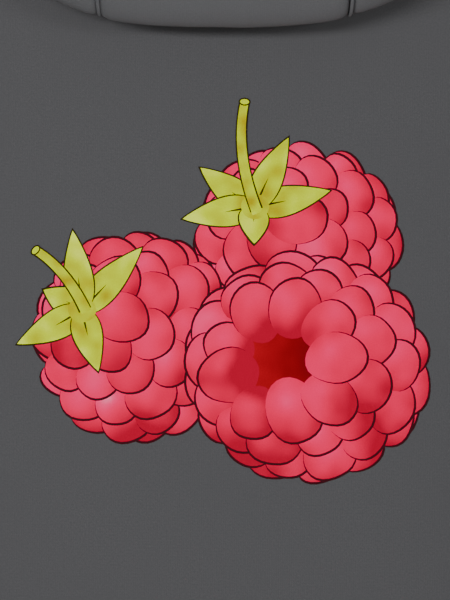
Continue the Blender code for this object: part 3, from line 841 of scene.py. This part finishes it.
def stitch_seam(name, lines):
    """One piece with a bead of thread every few millimetres along each line."""
    mesh = bmesh.new()
    count = 0
    for line in lines:
        distances = running([p for p, _ in line])
        k, at = 0, STITCH_PITCH / 2
        while at < distances[-1]:
            while distances[k + 1] < at:
                k += 1
            f = (at - distances[k]) / max(distances[k + 1] - distances[k], 1e-9)
            point = line[k][0].lerp(line[k + 1][0], f)
            out = line[k][1].lerp(line[k + 1][1], f).normalized()
            along = (line[k + 1][0] - line[k][0]).normalized()
            aside = out.cross(along).normalized()
            first = len(mesh.verts)
            mesh.from_mesh(bead_mesh)
            mesh.verts.ensure_lookup_table()
            for vertex in mesh.verts[first:]:
                co = vertex.co.copy()
                vertex.co = (point + along * co.z * STITCH_LENGTH / 2
                             + aside * co.x * THREAD_RADIUS * 1.25
                             + out * (co.y * THREAD_RADIUS + THREAD_RADIUS * 0.35))
            count += 1
            at += STITCH_PITCH
    bmesh.ops.recalc_face_normals(mesh, faces=mesh.faces)
    piece = worn(name, mesh, thread)
    print(f"{name}: {count} stitches")
    return piece


def part_of(line, start, end):
    """The stretch of a line between two shares of its points."""
    return line[int(start * (len(line) - 1)):int(end * (len(line) - 1)) + 1]


TWIN = (0.0045, 0.0100)  # how far the two rows of a coverstitch lie from the seam
for name in ("back_cloth", "front_cloth"):
    short = name.split("_")[0]
    rows = []
    for distance in TWIN:
        for edge in "lr":
            rows.append(part_of(edge_line(name, edge, distance), ARMPIT_V, 1.0))
    stitch_seam(f"{short}_armhole_stitches", rows)
    stitch_seam(f"{short}_hem_stitches", [edge_line(name, "f", d) for d in TWIN])
    stitch_seam(f"{short}_shoulder_stitches", [edge_line(name, "h", TWIN[0])])
for side in ("right", "left"):
    stitch_seam(f"{side}_cuff_stitches",
                [edge_line(f"{side}_sleeve_cloth", "h", d) for d in TWIN])

# %% [markdown]
# ## The hood's seam bands and face hem
# The centre panel is joined to the sides by a flat seam: a narrow raised band of cloth with a
# groove on each side of it. The face edge is turned in and sewn down 25 mm from the fold, which
# makes the tunnel that a drawcord would run in.

# %% Seam bands on the hood
BAND_COVER = 0.92  # share of the gap between the panels that the band fills
BAND_CROWN, BAND_SINK = 0.0006, 0.0007  # how round the band is, and how deep its edges lie
FACE_HEM = 0.025

def seam_band(side, hand):
    def place(p, q):
        shift = (2 * p - 1) * BAND_SHARE * BAND_COVER
        return hood_point(hand * (CENTRE_SEAM + shift), q)

    def crown(p, q, point):
        return BAND_CROWN * (1 - abs(2 * p - 1) ** 3) - BAND_SINK

    # The bands take the hood's lighter fleece copy, whose extra brightness is painted light.
    return weave(f"hood_{side}_seam_band", 8, 300, place, BAND_THICKNESS, hood_fleece_painted_lighter,
                 flip=hand > 0, sink="f", folds=crown)


OVERLOCK_RADIUS, OVERLOCK_INSET, NECK_OVERLOCK_THICKNESS = 0.0024, 0.0022, 0.0008


def neck_overlock():
    """The overlocked edges inside the neck seam, which close it against the light."""
    def place(p, q):
        round_neck = 2 * q - 1
        hand = -1 if round_neck < 0 else 1
        middle = mirrored(neckline(abs(round_neck)), hand)
        out = Vector((middle.x, middle.y, 0)).normalized()
        turn = 2 * math.pi * p
        return (middle - out * OVERLOCK_INSET
                + out * (OVERLOCK_RADIUS * math.cos(turn))
                + Vector((0, 0, OVERLOCK_RADIUS * 1.3 * math.sin(turn) - SEAM_RISE)))

    return weave("neck_seam_overlock", 10, 200, place, NECK_OVERLOCK_THICKNESS, fleece,
                 closed=True, sink="")


hood_trims = {"hood_centre": [seam_band("right", 1), seam_band("left", -1), neck_overlock()],
              "hood_right": [], "hood_left": []}
for name, shell in hood_shells.items():
    hem = stitch_seam(f"{name}_hem_stitches", [edge_line(f"{name}_cloth", "h", FACE_HEM)])

# %% [markdown]
# ## Kangaroo pocket
# One piece of fleece is sewn to the front along its top, its foot and the lower part of its
# sides. The slanting edges above stay open for the hands. They are turned in and stitched down,
# and the pocket stands a little away from the front, because it is cut fuller than the cloth
# behind it. It takes the same soft folds as the front, so the two stay clear of each other.

# %% The pocket
POCKET_BOTTOM_Z, POCKET_TOP_Z = -0.594, -0.394
POCKET_HALF_BOTTOM, POCKET_HALF_TOP = 0.165, 0.105
POCKET_STRAIGHT = 0.25  # share of the height where the sides are upright and sewn
POCKET_SEWN, POCKET_BULGE, POCKET_FLATNESS = 0.0034, 0.007, 0.35
POCKET_HEM = 0.014


def pocket_place(p, q):
    z = POCKET_BOTTOM_Z + (POCKET_TOP_Z - POCKET_BOTTOM_Z) * q
    slant = max(q - POCKET_STRAIGHT, 0.0) / (1 - POCKET_STRAIGHT)
    half = POCKET_HALF_BOTTOM + (POCKET_HALF_TOP - POCKET_HALF_BOTTOM) * slant
    x = (2 * p - 1) * half
    depth = body_depth(x, z, 1)
    fullness = math.sin(math.pi * q) ** 0.8
    held = smooth(slant * 4) + (1 - smooth(slant * 4)) * (1 - abs(2 * p - 1) ** 3)
    flat = POCKET_FLATNESS * (body_depth(0, z, 1) - depth)
    return Vector((x, depth + POCKET_SEWN + fullness * held * (POCKET_BULGE + flat), z))


pocket = weave("pocket_cloth", 140, 90, pocket_place, FLEECE_THICKNESS, fleece, flip=True,
               folds=body_folds)
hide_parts("kangaroo_pocket")
pocket_rows = [edge_line("pocket_cloth", edge, d) for edge in "fh" for d in TWIN]
for edge in "lr":
    pocket_rows += [part_of(edge_line("pocket_cloth", edge, d), 0, POCKET_STRAIGHT) for d in TWIN]
    pocket_rows.append(part_of(edge_line("pocket_cloth", edge, POCKET_HEM), POCKET_STRAIGHT, 1))
pocket_stitches = stitch_seam("pocket_stitches", pocket_rows)

# %% [markdown]
# ## The print on the back
# Raspberries are printed straight onto the cloth in soft watercolour inks with a thin dark line.
# The drawing is made the way a cartoonist would paint it, shape over shape, the farthest first.
# Drupelets sit in rings round each berry's stem end, as on the fruit. Each is a dark oval with a
# lighter one laid over it, moved a little towards the middle of the berry, so a crescent of line
# is left that thins out to nothing.

# %% Inks and shapes
PRINT_TOP_Z = -0.205
LINE = 0.00046  # half the width of the drawn line
CRESCENT = 2.1  # how far a drupelet's flesh is moved off its line, in lines
LINE_INK, LEAF_LINE_INK = linear("#3A0B14"), linear("#2A2408")
BERRY_INKS = [linear(c) for c in ("#FF90B0", "#FF3C76", "#FB1A60", "#F20A4E", "#DA043E", "#AE022A")]
HOLLOW_INKS = [linear(c) for c in ("#C80A26", "#A30416", "#860410", "#6E0410")]
LEAF_INKS = [linear(c) for c in ("#A89800", "#B8C000", "#C8DA00", "#DCEE44")]
drawing = random.Random(11)
shapes = []  # painter's order: each has an outline of (across, up) and the ink at any place in it


def paint(outline, ink):
    """Adds a shape on top of those before it. ink is one colour, or a function of the place."""
    shapes.append((outline, ink if callable(ink) else lambda x, z: ink))


def ramp(inks, t):
    """A colour between the inks, t from 0 at the first to 1 at the last."""
    at = min(max(t, 0.0), 1.0) * (len(inks) - 1)
    i = min(int(at), len(inks) - 2)
    return tuple(a + (b - a) * (at - i) for a, b in zip(inks[i], inks[i + 1]))


def wash(x, z, size, seed):
    """Slow change of an ink over the cloth, as a wet brush leaves it: about -1 to 1."""
    return noise.noise(Vector((x / size, z / size, seed))) * 1.6


def oval(centre, half_long, half_wide, turn, count=26, wobble=0.07, seed=0.0):
    """A slightly uneven oval. turn is the direction of its long half."""
    long, wide = Vector((math.cos(turn), math.sin(turn))), Vector((-math.sin(turn), math.cos(turn)))
    out = []
    for k in range(count):
        a = 2 * math.pi * k / count
        r = 1 + wobble * noise.noise(Vector((math.cos(a) * 0.9, math.sin(a) * 0.9, seed))) * 1.5
        out.append(centre + long * (half_long * r * math.cos(a))
                   + wide * (half_wide * r * math.sin(a)))
    return out


# %% Berries
BERRIES = [
    # centre across and down, half width, half height, way the stem end faces (across, out of the
    # cloth, up), and the pitch of the drupelets
    (0.044, 0.125, 0.0525, 0.0470, (-0.42, 0.86, 0.28), 0.0232),
    (-0.053, 0.184, 0.0520, 0.0525, (-0.52, 0.82, 0.27), 0.0236),
    (0.049, 0.203, 0.0635, 0.0575, (-0.28, 0.96, 0.08), 0.0256),
]
FACING_LIMIT = -0.22  # how far past the berry's edge a drupelet still shows
FIRST_RING, FIRST_RING_PICKED = 0.9, 1.45  # how far the first ring is from the stem end, in pitches
RING_STEP, BEAD_STEP = 0.86, 0.98  # from ring to ring, and from bead to bead in a ring
BEAD_RADIUS = 0.60  # a bead's radius in pitches: more than a half, so that beads overlap
EDGE_SQUASH, STEM_END_STRETCH = 0.74, 1.22  # beads at the berry's edge, and beside its stem end
LINE_LEAN = 1.0  # how much the crescents of line turn from bead to bead, in radians
FRONT_BERRY = 2


def drupelet(centre, long, wide, turn, away, depth, seed, core):
    """A round fleshy bead: line, then flesh moved by the line's width against `away`."""
    paint(oval(centre, long + LINE, wide + LINE, turn, seed=seed), LINE_INK)
    glint = centre + Vector((-0.30, 0.34)) * wide
    reach = (long + wide) / 2
    own = 0.07 * (seed % 3 - 1.5)

    def flesh(x, z):
        far = (Vector((x, z)) - glint).length / reach
        shade = 0.33 + 0.34 * far + depth + own + 0.12 * wash(x, z, 0.012, seed)
        shade += 0.30 * wash(x, z, 0.034, 5.0)
        if core:
            pole, width = core
            shade += 0.55 * smooth(1.15 - (Vector((x, z)) - pole).length / width)
        return ramp(BERRY_INKS, shade)

    paint(oval(centre - away * (CRESCENT * LINE), long, wide, turn, seed=seed), flesh)


def berry(number, across, down, half_width, half_height, stem_end, pitch):
    middle = Vector((across, PRINT_TOP_Z - down))
    axis = Vector(stem_end).normalized()
    side = axis.cross(Vector((0, 0, 1))).normalized()
    rise = side.cross(axis).normalized()
    size = (half_width + half_height) / 2
    spread = pitch / size
    paint(oval(middle, half_width, half_height, 0, 60, 0.0),
          lambda x, z: ramp(BERRY_INKS, 0.86 + 0.15 * wash(x, z, 0.02, number)))
    beads = []
    ring = 0
    theta = spread * (FIRST_RING_PICKED if number == FRONT_BERRY else FIRST_RING)
    while theta < math.pi:
        count = max(round(2 * math.pi * math.sin(theta) / (spread * BEAD_STEP)), 3)
        for k in range(count):
            phi = 2 * math.pi * (k + 0.5 * (ring % 2) + drawing.uniform(-0.13, 0.13)) / count
            tilt = theta + drawing.uniform(-0.05, 0.05)
            out = (axis * math.cos(tilt) + side * (math.sin(tilt) * math.cos(phi))
                   + rise * (math.sin(tilt) * math.sin(phi)))
            grow = drawing.uniform(0.90, 1.12)
            if out.y > FACING_LIMIT:
                beads.append((out, ring, grow, drawing.uniform(0, 90)))
        theta += spread * RING_STEP
        ring += 1
    if number == FRONT_BERRY:
        hollow(middle, axis, half_width, half_height, [b for b in beads if b[1] > 0], pitch)
        beads = [b for b in beads if b[1] == 0]
    place_beads(beads, middle, axis, half_width, half_height, pitch, number == FRONT_BERRY)


def place_beads(beads, middle, axis, half_width, half_height, pitch, hollowed=False):
    """Draws drupelets, those that face us most on top of the others."""
    pole = middle + Vector((axis.x * half_width, axis.z * half_height))
    for out, ring, grow, seed in sorted(beads, key=lambda b: b[0].y - 0.15 * b[1]):
        place = middle + Vector((out.x * half_width, out.z * half_height))
        away = (place - pole).normalized()
        radius = pitch * BEAD_RADIUS * grow
        squash = EDGE_SQUASH + (1 - EDGE_SQUASH) * max(out.y, 0.0)
        stretch = STEM_END_STRETCH if ring == 0 else 1.0
        turn = math.atan2(away.y, away.x)
        depth = 0.08 * (1 - max(out.y, 0.0)) + 0.05 * (away.x - away.y)
        lean = turn + (seed % 1 - 0.5) * LINE_LEAN
        core = (pole, pitch * 2.1) if hollowed and away.x < 0.2 else None
        drupelet(place, radius * squash * stretch, radius, turn,
                 Vector((math.cos(lean), math.sin(lean))), depth, seed, core)


def hollow(middle, axis, half_width, half_height, outer, pitch):
    """The empty core of a picked berry, with its outer drupelets drawn first."""
    place_beads(outer, middle, axis, half_width, half_height, pitch, True)
    pole = middle + Vector((axis.x * half_width, axis.z * half_height))
    paint(oval(pole, pitch * 1.02, pitch * 1.22, 0, 40, 0.12, 4.0), lambda x, z: ramp(
        HOLLOW_INKS, 0.55 + (x - pole.x) / pitch * 0.45 + 0.12 * wash(x, z, 0.01, 2.0)))


# %% Leaves and stems
CALYXES = [  # centre across and down, then each leaf's direction in degrees and its length
    (0.018, 0.106, ((10, 0.046), (66, 0.046), (150, 0.040), (190, 0.044), (262, 0.022))),
    (-0.086, 0.168, ((46, 0.052), (96, 0.048), (150, 0.026), (212, 0.044), (282, 0.038))),
]
STEM_PATHS = [  # three points from the leaves to the cut end
    ((0.019, 0.108), (0.0105, 0.075), (0.0118, 0.043)),
    ((-0.084, 0.168), (-0.097, 0.147), (-0.114, 0.132)),
]
LEAF_HALF_WIDTH, STEM_HALF_WIDTH, STEM_END_HALF_WIDTH = 0.0085, 0.0032, 0.0024
LEAF_LINE, STEM_LINE = 0.0008, LINE * 1.9


def leaf_outline(base, angle, length, half_width, bend):
    """A pointed leaf: wide at a third of its length, bending to one side."""
    ahead = Vector((math.cos(angle), math.sin(angle)))
    aside = Vector((-ahead.y, ahead.x))
    left, right = [], []
    for k in range(17):
        t = k / 16
        belly = math.sin(math.pi * t**0.72) ** 0.85
        width = half_width * (belly * 0.92 + 0.30 * (1 - t) ** 2)
        spine = base + ahead * (length * t) + aside * (bend * t * t)
        left.append(spine + aside * width)
        right.append(spine - aside * width)
    return right[:-1] + [base + ahead * length + aside * bend] + left[:-1][::-1]


def leaf(base, degrees, length, bend):
    angle = math.radians(degrees)
    seed = drawing.uniform(0, 90)
    edge = leaf_outline(base, angle, length + 2 * LEAF_LINE, LEAF_HALF_WIDTH + LEAF_LINE, bend)
    paint(edge, LEAF_LINE_INK)

    def blade(x, z):
        far = (Vector((x, z)) - base).length / length
        return ramp(LEAF_INKS, 0.22 + 0.62 * far + 0.38 * wash(x, z, 0.009, seed))

    paint(leaf_outline(base, angle, length, LEAF_HALF_WIDTH, bend), blade)
    paint(leaf_outline(base, angle, length * 0.42, LINE * 1.3, bend * 0.16), LEAF_LINE_INK)


def ribbon(points, half_start, half_end):
    """A tapered band along a bent line through three points."""
    a, b, c = points
    left, right = [], []
    for k in range(15):
        t = k / 14
        place = a * (1 - t) * (1 - 2 * t) + b * (4 * t * (1 - t)) + c * (t * (2 * t - 1))
        along = (a * (4 * t - 3) + b * (4 - 8 * t) + c * (4 * t - 1)).normalized()
        aside = Vector((-along.y, along.x)) * (half_start + (half_end - half_start) * t)
        left.append(place + aside)
        right.append(place - aside)
    return right + left[::-1]


def stem(points):
    a, b, c = [Vector((x, PRINT_TOP_Z - down)) for x, down in points]
    edge = ribbon((a, b, c), STEM_HALF_WIDTH + STEM_LINE, STEM_END_HALF_WIDTH + STEM_LINE)
    paint(edge, LEAF_LINE_INK)
    foot = a + (a - b) * 0.06
    paint(ribbon((foot, b, c), STEM_HALF_WIDTH, STEM_END_HALF_WIDTH),
          lambda x, z: ramp(LEAF_INKS, 0.40 + 0.4 * wash(x, z, 0.008, 7.0)))
    turn = math.atan2((c - b).y, (c - b).x)
    paint(oval(c, 0.0024, 0.0036, turn, 18, 0.0), LEAF_LINE_INK)
    paint(oval(c, 0.0016, 0.0027, turn, 18, 0.0), LEAF_INKS[2])


def calyx(across, down, leaves):
    base = Vector((across, PRINT_TOP_Z - down))
    for degrees, length in leaves:
        leaf(base, degrees, length, drawing.uniform(-0.004, 0.004))
    paint(oval(base, 0.0085, 0.0075, 0, 24, 0.05),
          lambda x, z: ramp(LEAF_INKS, 0.30 + 0.3 * wash(x, z, 0.008, 3.0)))


for number, row in enumerate(BERRIES):
    berry(number, *row)
    if number < len(CALYXES):
        calyx(*CALYXES[number])
        stem(STEM_PATHS[number])
print(f"{len(shapes)} painted shapes")

# %% [markdown]
# ## From painted shapes to a film of ink
# The outlines cross each other, so they are cut against each other once, into triangles that each
# belong to the shapes above and below them. The topmost shape gives a triangle its ink. Loose
# points in between let a wash change smoothly. The film follows the back a hair above the nap and
# is as thin as a print is.

# %% The film
INK_FILM, INK_LIFT, WASH_STEP = 0.00018, 0.00034, 0.0019
INSIDE_ONLY = 1  # keeps only the triangles that lie inside an outline


def water_based_ink():
    """Water-based textile ink: matt, soaked in, with the knit and a few bare fibres showing."""
    made, tree, shader = new_material("water_based_textile_ink")
    uv = cut_map(tree)
    colour = add_node(tree, "ShaderNodeVertexColor", settings=[("layer_name", "ink")])
    soak = add_node(tree, "ShaderNodeMapRange", values=[("To Min", 0.97), ("To Max", 1.10)],
                    links=[("Value", speckle(tree, uv, 1100.0, 3.0))])
    soaked = add_node(tree, "ShaderNodeVectorMath", settings=[("operation", "SCALE")],
                      links=[(0, colour.outputs["Color"]), ("Scale", soak.outputs["Result"])])
    feed(tree, shader, values=[("Roughness", 0.85), ("Specular IOR Level", 0.08)],
         links=[("Base Color", soaked.outputs[0]),
                ("Normal", knit_bump(tree, uv, WALE, COURSE, INK_NAP))])
    return made


def wash_points():
    """A staggered net of loose points over the drawing."""
    across = [p.x for outline, _ in shapes for p in outline]
    up = [p.y for outline, _ in shapes for p in outline]
    out = []
    row = 0
    z = min(up)
    while z < max(up):
        x = min(across) + (row % 2) * WASH_STEP / 2
        while x < max(across):
            out.append(Vector((x, z)))
            x += WASH_STEP
        z += WASH_STEP * 0.87
        row += 1
    return out


def ink_film():
    points, outlines = [], []
    for outline, _ in shapes:
        outlines.append(list(range(len(points), len(points) + len(outline))))
        points += outline
    places, _, faces, _, _, owners = delaunay_2d_cdt(
        points + wash_points(), [], outlines, INSIDE_ONLY, 1e-6, True)
    mesh = bmesh.new()
    uv = mesh.loops.layers.uv.new("cut")
    ink = mesh.loops.layers.float_color.new("ink")
    corners = [mesh.verts.new((p.x, -(body_depth(p.x, p.y, -1) + SEAM_GAP / 2 + INK_LIFT), p.y))
               for p in places]
    for face, owner in zip(faces, owners):
        if not owner:
            continue
        made = mesh.faces.new([corners[i] for i in face])
        ink_at = shapes[max(owner)][1]
        for loop, i in zip(made.loops, face):
            loop[uv].uv = places[i]
            loop[ink] = ink_at(places[i].x, places[i].y)
    bmesh.ops.delete(mesh, geom=[v for v in mesh.verts if not v.link_faces], context="VERTS")
    mesh.normal_update()
    if sum(f.normal.y for f in mesh.faces) > 0:
        bmesh.ops.reverse_faces(mesh, faces=mesh.faces)
    return worn("printed_raspberries", mesh, water_based_ink(), INK_FILM)


printed = ink_film()
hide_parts("raspberry_print")
print(f"print: {len(printed.data.polygons)} triangles of ink")

# %% [markdown]
# ## Neck tape and eyelets
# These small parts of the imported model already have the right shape, so they keep it and only take
# their materials: the tape its twill, the eyelets their plated metal.

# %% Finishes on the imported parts
for node, finish, slot in (("neck_tape", tape, "fleece"), ("right_eyelet", nickel, "eyelet_metal"),
                           ("left_eyelet", nickel, "eyelet_metal")):
    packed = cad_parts[node]
    packed.data.materials.clear()
    packed.data.materials.append(finish)
print("neck tape and eyelets finished")

# %% [markdown]
# ## Studio
# A plain pale floor just under the garment, a camera that looks straight at the upper back, and
# large soft lights. Most of the light comes from the front and a little from above, which leaves
# only a short soft shadow under the hood's fold, as on a garment hung against a bright room.

# %% Camera, lights and floor
VIEW_HEIGHT, VIEW_CENTRE_Z, BACK_Y, CAMERA_DISTANCE = 0.360, -0.367, -0.118, 4.0
SENSOR = 36
GARMENT_MIDDLE = Vector((0, 0, -0.35))
FLOOR_HALF, FLOOR_GAP = 4.75, 0.004
camera_data = bpy.data.cameras.new("camera")
camera = bpy.data.objects.new("camera", camera_data)
bpy.context.collection.objects.link(camera)
camera_data.sensor_fit = "VERTICAL"
camera_data.sensor_height = SENSOR
camera_data.lens = SENSOR * CAMERA_DISTANCE / VIEW_HEIGHT
camera.location = (0, BACK_Y - CAMERA_DISTANCE, VIEW_CENTRE_Z)
camera.rotation_euler = (math.radians(90), 0, 0)
bpy.context.scene.camera = camera


def softbox(name, place, size, watts):
    """A large soft light that faces the middle of the garment and isn't seen itself."""
    data = bpy.data.lights.new(name, "AREA")
    data.shape, data.size, data.size_y, data.energy = "RECTANGLE", size[0], size[1], watts
    light = bpy.data.objects.new(name, data)
    bpy.context.collection.objects.link(light)
    light.location = place
    light.visible_camera = False
    light.rotation_euler = (GARMENT_MIDDLE - Vector(place)).to_track_quat("-Z", "Y").to_euler()


softbox("key", (-1.5, -4.8, 0.16), (2.6, 0.5), 175)
softbox("fill", (2.4, -4.5, 0.10), (2.0, 0.5), 54)
softbox("front_fill", (1.1, 4.8, 0.9), (2.6, 2.2), 130)
softbox("top", (0, 0, 2.2), (1.6, 1.6), 9)


def pale_floor():
    """A matt painted floor with a faint mottle."""
    made, tree, shader = new_material("pale_matt_paint")
    mottle = speckle(tree, in_object(tree), 3.0, 4.0)
    feed(tree, shader, values=[("Roughness", 0.85)],
         links=[("Base Color", between(tree, mottle, "#DEDDDA", "#E6E5E2"))])
    plane = bmesh.new()
    bmesh.ops.create_grid(plane, x_segments=1, y_segments=1, size=FLOOR_HALF)
    bmesh.ops.translate(plane, verts=plane.verts, vec=(0, 0, cad_bounds[0][2] - FLOOR_GAP))
    finished("floor", plane, made)


pale_floor()

world = bpy.data.worlds.new("studio")
bpy.context.scene.world = world
world.use_nodes = True
feed(world.node_tree, world.node_tree.nodes["Background"],
     values=[("Color", linear("#F2F2F2")), ("Strength", 0.32)])
print("camera, lights, floor and world made")
